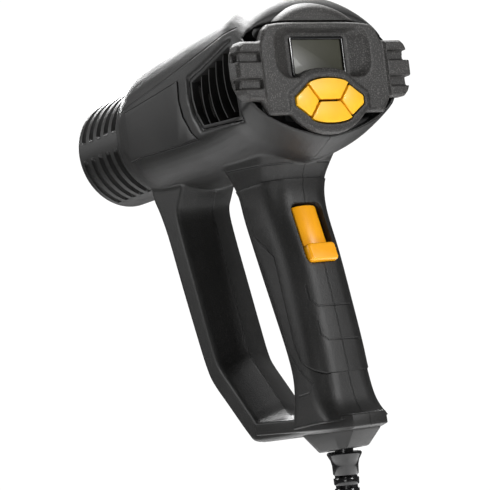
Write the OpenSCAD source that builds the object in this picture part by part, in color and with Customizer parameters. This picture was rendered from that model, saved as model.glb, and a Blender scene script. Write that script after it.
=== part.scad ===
// Hot air gun with a closed front hand guard, a display panel and a slide switch.
// Millimetres, +Z up, nozzle towards -X, origin at the centre of the hand grip.

/* [Barrel] */
// Height of the barrel axis above the grip centre
axis_z = 130; // [125:1:140]
// Outer radius of the heat guard ring
guard_r = 34; // [33:0.5:35]
// Length of the heat guard ring
guard_len = 48.4; // [46:0.2:48.4]
// Radius of the steel outlet tube
nozzle_r = 17; // [16.5:0.5:17.5]
// How far the outlet tube stands out of the heat guard ring
nozzle_out = 12; // [6:1:15]

/* [Housing] */
// Thickness of the moulded walls
wall = 2.6; // [2:0.1:3]
// Half width of the hand guard leg
leg_half = 20; // [19:0.5:21]
// Half width of the hand grip
grip_half = 20.5; // [20:0.5:22]

/* [Rear panel] */
// Lean of the rear panel, its top edge furthest back
panel_lean = 3.5; // [0:0.5:5]
// Travel of each key
key_travel = 0.8; // [0.4:0.1:1]
// Half width of the rear rest
rest_half = 62.5; // [60:0.5:64]

/* [Switch] */
// Travel of the slide switch
switch_travel = 8; // [6:1:9]

/* [Cord] */
// Radius of the mains cord
cord_r = 3.75; // [3.5:0.05:4]

/* [Hidden] */

panel_x = 46;               // rear panel face on the barrel axis
guard_x = -168;             // front rim of the heat guard ring
collar_x = -119;            // front edge of the housing
slot_fit = 0.4;             // gap between a key and its hole
half_angle = 7;             // forward lean of the cord outlet
outlet = [7.9, 0, -81];     // where the strain relief meets the foot
relief_len = 58;            // strain relief, collar to tip
coil_mid_r = 42;            // coil, middle of its turns
coil_deep = 15;             // half of the coil's section, along its radius
coil_wide = 7.5;            // half of the coil's section, along its axis
coil_at = [-6, 0, -236];    // middle of the coil
plug_at = [-59.3, 3.7, -272]; // where the cord enters the plug
$fn = 48;

charcoal = [0.16, 0.16, 0.17];
grip_grey = [0.21, 0.21, 0.22];
amber = [0.94, 0.72, 0.16];
steel = [0.62, 0.62, 0.64];

// ---------- outlines ----------

// Quarter of a superellipse from (w, z0) to (0, t)
function quarter(w, z0, t, e, n = 7) =
  [for (i = [0:n]) let (a = 90 * i / n) [w * pow(cos(a), 2 / e), z0 + (t - z0) * pow(sin(a), 2 / e)]];

function reversed(p) = [for (i = [len(p) - 1:-1:0]) p[i]];

// Whole outline from its right half, which starts and ends on the middle line
function mirrored(half) = concat(half, [for (i = [len(half) - 2:-1:1]) [-half[i][0], half[i][1]]]);

// Cross-section of the barrel housing: s = [x, half width, arch foot, top, belly foot, bottom, belly power]
function barrel_outline(s, in) = mirrored(concat(
  reversed(quarter(s[1] - in, -s[4], -(s[5] - in), s[6])),
  quarter(s[1] - in, s[2], s[3] - in, 2.25)
));

// Rectangle with round corners
function round_box(hx, hy, r, n = 4) =
  [for (q = [0:3], i = [0:n]) let (a = 90 * q + 90 * i / n, sx = (q == 0 || q == 3) ? 1 : -1, sy = q < 2 ? 1 : -1)
    [sx * (hx - r) + r * cos(a), sy * (hy - r) + r * sin(a)]];

// Solid through rings of points, each ring running anticlockwise about the way to the next
module loft(rings) {
  n = len(rings[0]);
  last = len(rings) - 1;
  sides = [for (i = [0:last - 1], k = [0:n - 1])
    let (a = i * n + k, b = i * n + (k + 1) % n) [b, a, a + n, b + n]];
  polyhedron(
    points = [for (r = rings) each r],
    faces = concat(sides, [[for (k = [0:n - 1]) k]], [[for (k = [n - 1:-1:0]) last * n + k]])
  );
}

barrel = [
  [collar_x, 36.9, 2, 36.9, 2, 36.9, 2],
  [-110, 38.5, 9, 42.5, 8, 38, 2],
  [-96, 40, 14, 47.5, 15, 39, 1.9],
  [-57, 42, 19, 51.5, 18, 42, 1.8],
  [-18, 45.5, 24, 55, 20, 44, 1.6],
  [17, 50, 26, 55.5, 19, 44, 1.5],
  [32, 53, 25, 51, 17, 40, 1.5],
  [42, 54, 23, 45, 12, 33.5, 1.5]
];

// Grip sections, from the foot up: [height, middle, half depth, half width, corner]
grip = [
  [-64.3, 9, 20, grip_half + 0.8, 11],
  [-52, 7.5, 18.5, grip_half + 0.8, 11],
  [-36, 6.8, 16.8, grip_half + 0.8, 12],
  [-20, 4.8, 17, grip_half + 0.5, 12],
  [5, -0.1, 19.1, grip_half, 13],
  [33, -5.9, 21.4, grip_half - 0.5, 13],
  [68, -12.8, 20.3, grip_half + 1.5, 13],
  [78, -12, 21.5, grip_half + 2, 13],
  [90, -13, 27, grip_half + 3, 14],
  [100, -16, 33, grip_half + 4, 14]
];

// Hand guard sections, from the foot up: [outer x, outer z, inner x, inner z]
guard = [
  [6, -68.7, 6, -54.5],
  [-44, -68, -28, -53.5],
  [-54, -66, -39, -51],
  [-68, -49, -50, -37],
  [-85, -28, -62, -22],
  [-90, -16, -67.5, -12],
  [-99, 23, -73, 23],
  [-107, 60, -78.5, 58],
  [-112, 78, -80.5, 74],
  [-117.6, 97, -78.6, 89.3]
];

foot = [
  [36, -12.3], [36, 12.3], [24, 17], [13, 20.5], [-45, 20.5],
  [-52, 17], [-52, -17], [-45, -20.5], [13, -20.5], [24, -17]
];

// ---------- solids used by several parts ----------

function barrel_ring(s, in, x) = [for (p = barrel_outline(s, in)) [x, p[0], axis_z + p[1]]];

// Barrel housing, smaller all round by in, its open ends longer by past
module barrel_solid(in = 0, past = 0) {
  loft([for (i = [0:len(barrel) - 1])
    barrel_ring(barrel[i], in, barrel[i][0] + (i == 0 ? -past : i == len(barrel) - 1 ? past : 0))]);
}

module grip_solid(in = 0, first = 0, last = 9) {
  loft([for (i = [first:last]) let (s = grip[i])
    [for (p = round_box(s[2] - in, s[3] - in, s[4] - in / 2)) [s[1] + p[0], p[1], s[0]]]]);
}

function guard_ring(s, in) =
  let (across = [s[2] - s[0], s[3] - s[1]], w = norm(across), u = across / w)
  [for (p = round_box(w / 2 - in, leg_half - in, min(6.5 - in / 2, w / 2 - in - 0.7)))
    [(s[0] + s[2]) / 2 + p[0] * u[0], p[1], (s[1] + s[3]) / 2 + p[0] * u[1]]];

module guard_solid(in = 0) {
  loft([for (s = guard) guard_ring(s, in)]);
}

// Foot flange and the tapered boss under it
module foot_solid(in = 0) {
  translate([12, 0, -63.8]) rotate([0, 4, 0]) translate([-12, 0, in - 4])
    linear_extrude(8 - 2 * in) polygon([for (p = foot) p * (1 - in / 30)]);
}

module whole_solid(in = 0, past = 0) {
  barrel_solid(in, past);
  grip_solid(in);
  guard_solid(in);
  foot_solid(in);
}

vent_hole = [[-25, 20], [-27.5, 8], [-26, -4], [-20, -17], [26, -21], [30, -14], [30, 24]];

// Side air inlet, cut through one wall: side = -1 left, 1 right
module vent_cut(side, grow = 0) {
  translate([0, side > 0 ? 66 : 0, axis_z]) rotate([90, 0, 0])
    linear_extrude(66) offset(delta = grow) polygon(vent_hole);
}

// Plain raised panel on one side of the barrel housing
module badge(side) {
  pts = [[-103, 12], [-36, 17], [-38, 6], [-35, -9], [-28, -19], [-98, -15]];
  color(grip_grey) intersection() {
    translate([0, side > 0 ? 66 : 0, axis_z]) rotate([90, 0, 0]) linear_extrude(66) polygon(pts);
    difference() {
      barrel_solid(-0.9);
      barrel_solid(-0.03, 1);
    }
  }
}

screw_spots = [[-104, 161], [-102, 104], [-62, 173], [20, 174], [-34, 96], [-82, 4], [-46.5, -58], [3, -37], [-16, 81]];

module screw_holes(r) {
  for (p = screw_spots)
    translate([p[0], 0, p[1]]) rotate([90, 0, 0]) cylinder(r = r, h = 160, center = true, $fn = 24);
}

// Screw posts, wider towards the wall and kept inside the outer skin
module posts(side) {
  intersection() {
    for (p = screw_spots)
      translate([p[0], 0, p[1]]) rotate([side * -90, 0, 0]) hull() {
        cylinder(r = 4.2, h = 0.1, $fn = 24);
        translate([0, 0, 50]) cylinder(r = 5, h = 5, $fn = 24);
      }
    whole_solid(0.6);
  }
}

// The switch slides along this line on the back of the grip
switch_lean = 13.6;
module switch_frame() {
  translate([11.6, 0, 45.5]) rotate([0, -switch_lean, 0]) children();
}

module shell_space() {
  translate([collar_x - 1, 0, axis_z]) rotate([0, 90, 0]) cylinder(r = 31, h = 8);
  for (side = [-1, 1]) vent_cut(side);
  switch_frame() translate([-7, -12, -19]) cube([18, 24, 38]);
  panel_frame() translate([-5.4, -80, -120]) cube([40, 160, 240]);
  translate([outlet[0] - 2, 0, -78]) cylinder(r = 9, h = 30, center = true);
}

// Left half of the moulded housing
module half_housing() {
  intersection() {
    difference() {
      union() {
        difference() {
          whole_solid(0);
          whole_solid(wall, 1);
        }
        posts(-1);
      }
      shell_space();
      screw_holes(1.5);
    }
    translate([-150, -100.02, -90]) cube([250, 100, 290]);
  }
}

// ---------- housing ----------

module left_shell() {
  color(charcoal) half_housing();
}

module right_shell() {
  color(charcoal) difference() {
    mirror([0, 1, 0]) half_housing();
    for (p = screw_spots)
      translate([p[0], 13, p[1]]) rotate([-90, 0, 0]) cylinder(r = 2.7, h = 60, $fn = 24);
  }
}

// Curved frame and fins that fill one side inlet
module vent_insert(side) {
  intersection() {
    difference() {
      barrel_solid(0.6);
      barrel_solid(6, 1);
    }
    union() {
      difference() {
        vent_cut(side, -0.15);
        vent_cut(side, -3.2);
      }
      intersection() {
        vent_cut(side, -0.15);
        for (i = [0:4])
          translate([-14.5 + i * 9.7, side > 0 ? 66 : 0, axis_z + 1]) rotate([90, 0, 0])
            linear_extrude(66) intersection() {
              difference() {
                translate([28, 6]) circle(r = 33);
                translate([28, 6]) circle(r = 31.8);
              }
              translate([-10, -24]) square([22, 48]);
            }
      }
    }
  }
}

module left_vent() {
  color(charcoal) vent_insert(-1);
}

module right_vent() {
  color(charcoal) vent_insert(1);
}

module left_badge() {
  badge(-1);
}

module right_badge() {
  badge(1);
}

// Soft cover over the back and sides of the grip
module grip_cover_solid() {
  intersection() {
    difference() {
      grip_solid(-0.9, 1, 8);
      grip_solid(-0.03, 0, 9);
    }
    translate([0, 30, 0]) rotate([90, 0, 0]) linear_extrude(60)
      polygon([[-6, 24], [6, 20], [40, 20], [40, -38], [14, -41], [2, -30], [-4, 0]]);
  }
}

module grip_cover() {
  color(grip_grey) grip_cover_solid();
}

// ---------- hot end ----------

// Ring that keeps hands off the outlet, with two rows of finger grooves
module heat_guard() {
  color(charcoal) translate([guard_x, 0, axis_z]) rotate([0, 90, 0])
    difference() {
      rotate_extrude($fn = 72) polygon([
        [guard_r - 4, 0], [guard_r - 1.4, 0], [guard_r, 1.6], [guard_r + 0.5, guard_len],
        [guard_r - 3, guard_len], [guard_r - 3, 5], [guard_r - 4, 4]
      ]);
      for (i = [0:4], q = [0:3])
        rotate([0, 0, 90 * q + 12]) translate([0, 0, 5.5 + i * 8.8])
          rotate_extrude(angle = 66, $fn = 72) translate([guard_r - 1.5, 0]) square([4, 4.2]);
    }
}

module tube_x(x0, x1, r_out, r_in) {
  translate([x0, 0, axis_z]) rotate([0, 90, 0]) difference() {
    cylinder(r = r_out, h = x1 - x0, $fn = 72);
    if (r_in > 0) translate([0, 0, -1]) cylinder(r = r_in, h = x1 - x0 + 2, $fn = 72);
  }
}

module nozzle_tube() {
  color(steel) {
    tube_x(guard_x - nozzle_out, guard_x, nozzle_r, nozzle_r - 0.8);
    tube_x(guard_x - 0.01, -100, nozzle_r - 0.3, nozzle_r - 0.8);
  }
}

// Disc that carries the outlet tube, with the spigot that the heat guard sits on
module nozzle_flange() {
  color(steel) {
    tube_x(collar_x + 0.4, collar_x + 1.6, 33.9, nozzle_r - 0.2);
    tube_x(collar_x - 8, collar_x + 1, guard_r - 3.35, guard_r - 5);
  }
}

module mica_tube() {
  color([0.75, 0.72, 0.62]) tube_x(-166, -102, nozzle_r - 1.2, nozzle_r - 1.8);
}

module heater_core() {
  color([0.9, 0.89, 0.84]) translate([-164, 0, axis_z]) rotate([0, 90, 0]) difference() {
    cylinder(r = 11, h = 58);
    for (q = [0:5]) rotate([0, 0, 60 * q]) translate([6.5, 0, -1]) cylinder(r = 2.1, h = 60);
    translate([0, 0, -1]) cylinder(r = 2.3, h = 60);
  }
}

module heating_coil() {
  color([0.45, 0.4, 0.36]) for (i = [0:9])
    translate([-160 + i * 5.5, 0, axis_z]) rotate([0, 90, 0])
      rotate_extrude() translate([12.6, 0]) circle(r = 0.8, $fn = 16);
}

module temperature_probe() {
  color(steel) tube_x(-166, -98, 1.2, 0);
}

module fan_duct() {
  color(charcoal) translate([-99.5, 0, axis_z]) rotate([0, 90, 0]) rotate_extrude() polygon([
    [17.2, 0], [19, 0], [19, 6], [33.2, 26], [33.2, 48], [31.6, 48], [31.6, 26.6], [17.2, 6.6]
  ]);
}

// Blower wheel on the motor shaft
module fan() {
  color([0.3, 0.3, 0.32]) translate([-68, 0, axis_z]) rotate([0, 90, 0]) {
    difference() {
      union() {
        cylinder(r = 9, h = 15);
        translate([0, 0, 13]) cylinder(r = 28, h = 1.6);
      }
      translate([0, 0, -1]) cylinder(r = 1.6, h = 20);
    }
    for (q = [0:8]) rotate([0, 0, 40 * q]) translate([8.5, -0.7, 2]) cube([19.5, 1.4, 11.5]);
  }
}

module motor_shaft() {
  color(steel) tube_x(-68, -51.1, 1.6, 0);
}

module motor() {
  color(steel) {
    tube_x(-50.8, -10, 17.5, 0);
    tube_x(-10, -6, 8, 0);
  }
}

module motor_mount() {
  color(charcoal) difference() {
    tube_x(-48, -42, 36, 17.6);
    for (q = [0:7]) translate([-50, 0, axis_z]) rotate([45 * q + 22.5, 0, 0]) translate([0, 27, 0])
      rotate([0, 90, 0]) cylinder(r = 6, h = 12);
  }
}

module power_board() {
  color([0.12, 0.32, 0.2]) translate([-28, -20, axis_z + 24]) cube([56, 40, 1.6]);
}

module board_parts() {
  color([0.3, 0.3, 0.35]) {
    translate([-20, -12, axis_z + 25.6]) cube([16, 12, 12]);
    translate([8, 6, axis_z + 25.6]) cylinder(r = 6, h = 16);
    translate([8, -9, axis_z + 25.6]) cylinder(r = 4.5, h = 13);
    translate([-14, 8, axis_z + 25.6]) cube([12, 8, 9]);
  }
}

// ---------- rear panel ----------

// Frame of the panel: origin on its face, u across, v up, depth forward
module panel_frame() {
  translate([panel_x, 0, axis_z]) rotate([0, panel_lean, 0]) children();
}

// Plate of the given outline, from depth a to depth b behind the panel face
module panel_plate(a, b) {
  panel_frame() translate([-b, 0, 0]) rotate([90, 0, 90]) linear_extrude(b - a) children();
}

bezel_half = [
  [0, 31.5], [26, 31.3], [36, 30.5], [40, 28], [45.2, 20.5], [57, 20.5], [60, 16.5], [rest_half, 9.5],
  [rest_half, 0], [61.5, -5], [57, -11], [52, -12.7], [46.5, -13.2], [42, -21.5], [27, -21.5],
  [20, -27.7], [13.5, -31.2], [6.5, -33], [0, -33.5]
];

key_corner = [14.3, 9.1];
key_rim = 24.6;

module oval(grow) {
  hull() {
    intersection() {
      scale([1.55, 1]) circle(r = 13.2 + grow);
      square([2 * (key_corner[0] + 1 + grow), 60], center = true);
    }
    for (s = [-1, 1]) translate([s * (key_rim - 3), 0]) scale([1, 1.3]) circle(r = 3 + grow);
  }
}

// Area of one key: q = 0 top, 1 right, 2 bottom, 3 left
module key_area(q) {
  side = key_corner + [2.2, 3.4];
  far = 40;
  pts = q == 0 ? [[-7.3, 0], [7.3, 0], [side[0] + 5, side[1] + 9], [-side[0] - 5, side[1] + 9]]
    : q == 2 ? [[-7.3, 0], [7.3, 0], [side[0] + 5, -side[1] - 9], [-side[0] - 5, -side[1] - 9]]
    : q == 1 ? [[7.3, 0], [side[0] + 5, side[1] + 9], [far, 20], [far, -20], [side[0] + 5, -side[1] - 9]]
    : [[-7.3, 0], [-side[0] - 5, side[1] + 9], [-far, 20], [-far, -20], [-side[0] - 5, -side[1] - 9]];
  intersection() {
    oval(-slot_fit);
    offset(delta = -0.45) polygon(pts);
  }
}

module key(q) {
  color(amber) panel_plate(-0.7, 4.4) translate([0, -14.2]) key_area(q);
}

module key_top() {
  key(0);
}

module key_right() {
  key(1);
}

module key_bottom() {
  key(2);
}

module key_left() {
  key(3);
}

module pocket_outline() {
  translate([0, 13.7]) polygon(round_box(35, 14.5, 9));
}

module window_outline(grow) {
  translate([0, 12.2]) square([35.2 + 2 * grow, 19.4 + 2 * grow], center = true);
}

// Front plate of the rear end: display pocket, key boss and the two rest lugs
module rear_bezel() {
  color(grip_grey) difference() {
    union() {
      panel_plate(0, 5) polygon(mirrored(bezel_half));
      panel_plate(5, 9) intersection() {
        polygon(mirrored(bezel_half));
        square([72, 70], center = true);
      }
    }
    panel_plate(-1, 4) pocket_outline();
    panel_plate(-1, 12) window_outline(2.4);
    panel_plate(-1, 12) translate([0, -14.2]) oval(0);
    for (s = [-1, 1], v = [12.8, -1.8]) panel_plate(-1, 2) translate([s * 53, v]) square([16, 6.2], center = true);
  }
}

// Soft pads on the rest lugs
module rest_pads() {
  color(charcoal) for (s = [-1, 1], v = [[18, 3.6], [5.6, 7.8], [-8.4, 6.6]])
    panel_plate(-3, -0.02) translate([s * 52.5, v[0]]) square([v[0] > 0 && v[0] < 10 ? 17 : 12, v[1]], center = true);
}

module display_frame() {
  color(grip_grey) difference() {
    panel_plate(4.2, 7.4) window_outline(2.2);
    panel_plate(3, 9) window_outline(0);
  }
}

module display_glass() {
  color([0.27, 0.27, 0.22]) panel_plate(4.8, 6.2) window_outline(-0.1);
}

module display_board() {
  color([0.12, 0.32, 0.2]) panel_plate(9.3, 10.9) translate([0, -2]) square([52, 44], center = true);
}

module key_mat() {
  color([0.8, 0.8, 0.78]) panel_plate(5.6, 9.1) translate([0, -14.2]) oval(-1);
}

// Closing plate behind the panel, with the hump above it and the posts that carry it
module rear_cap() {
  color(grip_grey) {
    translate([31.5, 0, axis_z]) rotate([90, 0, 90]) linear_extrude(2) polygon(barrel_outline(barrel[6], 3.4));
    difference() {
      translate([33, 0, axis_z]) rotate([90, 0, 90]) linear_extrude(10.5) intersection() {
        translate([0, -2.5]) circle(r = 44.2);
        translate([-40, 30]) square([80, 20]);
      }
      panel_frame() translate([-9.6, -60, -80]) cube([60, 120, 111.8]);
    }
    for (s = [-1, 1], v = [26, -16])
      translate([33, s * 40, axis_z + v]) rotate([0, 90, 0]) cylinder(r = 2.6, h = 6.5);
  }
}

module bezel_screws() {
  color(steel) for (s = [-1, 1], v = [24, -14])
    translate([28, s * 36, axis_z + v]) rotate([0, 90, 0]) cylinder(r = 2.4, h = 3.4);
}

// ---------- switch ----------

module switch_plate() {
  color(charcoal) switch_frame() difference() {
    translate([-6.6, -11.9, -18.9]) cube([1.6, 23.8, 37.8]);
    translate([-8, -6, -14]) cube([4, 12, 28]);
  }
}

// Strip that runs in under the housing, with a raised thumb bar at its lower end
module switch_slider() {
  color([1, 0.66, 0.05]) switch_frame() {
    translate([-4.4, -8.5, -16]) cube([2.2, 17, 33.4]);
    hull() {
      translate([-3, -10, -18.2]) cube([0.1, 20, 11.2]);
      translate([4.4, -8.2, -17.4]) cube([0.1, 16.4, 9.2]);
    }
    translate([-11, -2.5, -12]) cube([7, 5, 8]);
  }
}

module switch_body() {
  color([0.1, 0.1, 0.11]) switch_frame() difference() {
    translate([-27, -11, -19]) cube([20, 22, 38]);
    translate([-12, -3, -15]) cube([8, 6, 8 + switch_travel + 12]);
  }
}

// ---------- foot and cord ----------

module foot_cap() {
  color(charcoal) difference() {
    hull() {
      translate([8, 0, -69.7]) linear_extrude(0.2) polygon(round_box(26, 16, 5));
      translate([6.5, 0, -79.6]) linear_extrude(0.2) polygon(round_box(16, 12, 3));
    }
    translate([outlet[0], 0, outlet[2]]) rotate([0, half_angle, 0]) cylinder(r = 5.6, h = 60, center = true);
  }
}

module cable_clamp() {
  color(charcoal) translate([9.6, 0, -52]) {
    difference() {
      translate([-4, -13, -4]) cube([8, 26, 14]);
      rotate([0, half_angle, 0]) cylinder(r = cord_r + 0.1, h = 60, center = true);
      for (s = [-1, 1]) translate([-6, s * 9, 2]) rotate([0, 90, 0]) cylinder(r = 1.6, h = 12);
    }
  }
}

module clamp_screws() {
  color(steel) for (s = [-1, 1]) translate([4.2, s * 9, -50]) rotate([0, 90, 0]) {
    cylinder(r = 1.5, h = 11);
    translate([0, 0, 9.6]) cylinder(r = 3, h = 2);
  }
}

module shell_screws() {
  color(steel) for (p = screw_spots) {
    translate([p[0], -12, p[1]]) rotate([-90, 0, 0]) cylinder(r = 1.4, h = 26);
    translate([p[0], 13.1, p[1]]) rotate([-90, 0, 0]) cylinder(r = 2.6, h = 2.2);
  }
}

// Tapered sleeve with slots, round the cord where it leaves the foot
module strain_relief() {
  color(charcoal) translate(outlet) rotate([0, half_angle, 0]) difference() {
    rotate_extrude() polygon([
      [cord_r, 9], [5.4, 9], [5.4, 0], [10, -0.2], [10.2, -1.4], [7.9, -6.5], [7.7, -12],
      [6.2, -relief_len], [cord_r, -relief_len]
    ]);
    for (i = [0:5], q = [0:1]) translate([0, 0, -16 - 6.6 * i]) rotate([0, 0, 90 * (i % 2) + 180 * q])
      translate([5.4, -5, -1.4]) cube([6, 10, 2.8]);
  }
}

relief_end = outlet + relief_len * [-sin(half_angle), 0, -cos(half_angle)];

// Points of the cord from the strain relief to the coil, and from the coil to the plug
cord_route = [
  [0.8, 0, -139], [-0.4, 0, -147], [-1.8, 0, -155], [-5, 0, -163], [-10, 0, -170.5], [-16, 0, -176.5],
  [-23, -1.5, -182.5], [-30, -3.2, -187.5], [-36, -3.7, -192]
];
tail_route = [[-59.3, 3.7, -236], [-59.3, 3.7, -246], [-59.3, 3.7, -256], [-59.3, 3.7, -265], plug_at];

function ring_at(p, dir, r, n) =
  let (d = dir / norm(dir), s = [0, 1, 0], u = cross(d, s))
  [for (k = [0:n - 1]) p + r * (cos(360 * k / n) * s + sin(360 * k / n) * u)];

// Tube of n sides through the points of a route
module swept(route, r, n = 10) {
  last = len(route) - 1;
  loft([for (i = [0:last]) ring_at(route[i], route[min(i + 1, last)] - route[max(i - 1, 0)], r, n)]);
}

module mains_cord() {
  color(charcoal) {
    swept(cord_route, cord_r);
    swept(tail_route, cord_r);
  }
}

module cord_coil() {
  color(charcoal) translate(coil_at) rotate([90, 0, 0]) rotate_extrude($fn = 72)
    translate([coil_mid_r, 0]) polygon(round_box(coil_deep, coil_wide, 3.5));
}

module coil_tie() {
  color([0.1, 0.1, 0.1]) translate(coil_at + [coil_mid_r, 0, 0]) difference() {
    cube([2 * coil_deep + 4, 2 * coil_wide + 4, 9], center = true);
    cube([2 * coil_deep + 1.2, 2 * coil_wide + 1.2, 20], center = true);
  }
}

module plug_body() {
  color(charcoal) translate(plug_at) {
    rotate([180, 0, 0]) rotate_extrude() polygon([
      [0, 0], [5.5, 0], [7, 16], [9, 22], [16, 28], [18.5, 34], [18.5, 46], [0, 46]
    ]);
  }
}

module plug_pins() {
  color(steel) for (s = [-1, 1]) translate(plug_at + [0, s * 9.5, -65]) {
    cylinder(r = 2.4, h = 19);
    sphere(r = 2.4);
  }
}

left_shell();
right_shell();
left_vent();
right_vent();
left_badge();
right_badge();
heat_guard();
nozzle_tube();
nozzle_flange();
mica_tube();
heater_core();
heating_coil();
temperature_probe();
fan_duct();
fan();
motor();
motor_shaft();
motor_mount();
power_board();
board_parts();
rear_cap();
rear_bezel();
rest_pads();
display_frame();
display_glass();
display_board();
key_mat();
key_top();
key_bottom();
key_left();
key_right();
grip_cover();
switch_plate();
switch_slider();
switch_body();
cable_clamp();
clamp_screws();
foot_cap();
shell_screws();
bezel_screws();
strain_relief();
mains_cord();
cord_coil();
coil_tie();
plug_body();
plug_pins();
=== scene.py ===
"""Looks of a corded hot air gun with a closed hand guard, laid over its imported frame."""

import math

import bmesh
import bpy
from mathutils import Matrix, Vector


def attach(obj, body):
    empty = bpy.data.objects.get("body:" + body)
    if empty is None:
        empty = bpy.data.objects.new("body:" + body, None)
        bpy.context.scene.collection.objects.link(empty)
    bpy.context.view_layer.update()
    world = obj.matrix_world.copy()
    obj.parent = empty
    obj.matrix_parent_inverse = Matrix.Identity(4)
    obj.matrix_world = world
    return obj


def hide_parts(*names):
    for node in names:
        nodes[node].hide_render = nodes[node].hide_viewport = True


bl_info = {
    "name": "Hot air gun",
    "version": (1, 0, 0),
    "blender": (4, 5, 0),
    "location": "3D View > Sidebar > Hot air gun",
    "description": "Builds the housing, panel, grip, hot end and cord of a hot air gun",
    "category": "Add Mesh",
}

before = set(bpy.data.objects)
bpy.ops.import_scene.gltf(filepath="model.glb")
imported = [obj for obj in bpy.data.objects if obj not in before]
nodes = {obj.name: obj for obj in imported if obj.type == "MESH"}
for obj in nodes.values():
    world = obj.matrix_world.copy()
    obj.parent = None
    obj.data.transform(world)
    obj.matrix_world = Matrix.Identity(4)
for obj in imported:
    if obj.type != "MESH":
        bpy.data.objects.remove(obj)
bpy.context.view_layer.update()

MM = 0.001
AXIS = 130  # height of the barrel's middle line
AXIS_Z = AXIS * MM
RING_FRONT = -168
KEY_V = -14.2  # height of the key field's and of the window's middle on the panel
WINDOW_V = 12.2
SWITCH_TURN = Matrix.Translation((0.0116, 0, 0.0455)) @ Matrix.Rotation(math.radians(-13.6), 4, "Y")


# ---------- sizes and colours ----------


class GunHousing(bpy.types.PropertyGroup):
    """Sizes of the moulded housing"""

    voxel: bpy.props.FloatProperty(
        name="Skin step",
        description="Step of the housing's skin",
        default=0.0009, min=0.0005, max=0.003, unit="LENGTH"
    )
    softness: bpy.props.IntProperty(
        name="Edge softness", description="Passes that round the moulded edges", default=5, min=0, max=20
    )
    colour: bpy.props.FloatVectorProperty(
        name="Housing colour",
        description="Charcoal of the moulded plastic",
        default=(0.0075, 0.0073, 0.007), subtype="COLOR", size=3
    )


class GunTrim(bpy.types.PropertyGroup):
    """Colours of the panel, keys and switch"""

    trim: bpy.props.FloatVectorProperty(
        name="Panel colour",
        description="Speckled grey of the rear panel",
        default=(0.022, 0.021, 0.02), subtype="COLOR", size=3
    )
    keys: bpy.props.FloatVectorProperty(
        name="Key colour",
        description="Amber of the keys",
        default=(0.93, 0.49, 0.012), subtype="COLOR", size=3
    )
    switch: bpy.props.FloatVectorProperty(
        name="Switch colour",
        description="Orange yellow of the slide switch",
        default=(1.0, 0.41, 0.002), subtype="COLOR", size=3
    )
    display: bpy.props.FloatVectorProperty(
        name="Display colour",
        description="Dark olive of the display",
        default=(0.035, 0.035, 0.022), subtype="COLOR", size=3
    )


class GunCord(bpy.types.PropertyGroup):
    """The mains cord"""

    diameter: bpy.props.FloatProperty(
        name="Cord diameter",
        description="Outer diameter of the cord",
        default=0.0075, min=0.005, max=0.01, unit="LENGTH"
    )


# ---------- outlines, in millimetres ----------


def quarter(w, z0, t, power, n=12):
    """Quarter of a superellipse from (w, z0) to (0, t)."""
    angles = [math.pi / 2 * i / n for i in range(n + 1)]
    bend = 2 / power
    return [(w * max(math.cos(a), 0) ** bend, z0 + (t - z0) * math.sin(a) ** bend) for a in angles]


def mirrored(half):
    """Whole outline from its right half, which starts and ends on the middle line."""
    return half + [(-y, z) for y, z in half[-2:0:-1]]


def round_box(hx, hy, r, n=6):
    """Rectangle with round corners, anticlockwise."""
    out = []
    for q in range(4):
        sx, sy = (1, -1, -1, 1)[q], (1, 1, -1, -1)[q]
        for i in range(n + 1):
            a = math.pi / 2 * (q + i / n)
            out.append((sx * (hx - r) + r * math.cos(a), sy * (hy - r) + r * math.sin(a)))
    return out


def through(rows, steps):
    """Smooth curve through rows of numbers, each stretch cut into steps."""
    out = []
    for i in range(len(rows) - 1):
        p0, p1, p2, p3 = rows[max(i - 1, 0)], rows[i], rows[i + 1], rows[min(i + 2, len(rows) - 1)]
        for k in range(steps):
            t = k / steps
            out.append([
                0.5 * (
                    2 * b + (c - a) * t + (2 * a - 5 * b + 4 * c - d) * t * t + (3 * b - 3 * c + d - a) * t**3
                )
                for a, b, c, d in zip(p0, p1, p2, p3)
            ])
    return out + [list(rows[-1])]


# Barrel sections: x, half width, arch foot, top, belly foot, bottom, belly power
BARREL = [
    (-119, 36.9, 2, 36.9, 2, 36.9, 2.0),
    (-115, 37, 3, 37.6, 3, 37, 2.0),
    (-108, 38.2, 7, 42, 9, 38.4, 1.9),
    (-96, 39.5, 10, 46, 15, 39.5, 1.8),
    (-57, 41.8, 15, 50.2, 18, 42, 1.7),
    (-18, 45.3, 19, 53.2, 19, 44, 1.6),
    (8, 49.3, 21, 54.2, 19, 44, 1.5),
    (22, 51.8, 22, 53.6, 18, 43, 1.5),
    (32, 53, 18, 50.6, 15, 39, 1.5),
    (38, 53, 16, 45.8, 13, 36, 1.5),
    (41, 52.6, 15, 40.8, 12, 34, 1.5),
]

# Grip sections from the foot up: height, middle, half depth, half width, corner
GRIP = [
    (-64.3, 8.5, 24, 22, 10),
    (-58, 7.4, 20.5, 21.6, 11),
    (-50, 6.8, 18.2, 21.2, 12),
    (-36, 6.6, 16.8, 20.9, 13),
    (-20, 4.8, 17.2, 20.8, 13),
    (5, -0.1, 19.3, 20.5, 13.5),
    (33, -5.9, 21.4, 20.3, 14),
    (60, -11.9, 20.6, 21.4, 14),
    (76, -12.2, 21.3, 22.8, 14),
    (88, -10.5, 26, 25.5, 14),
    (100, -8, 33, 29, 14),
]

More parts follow.
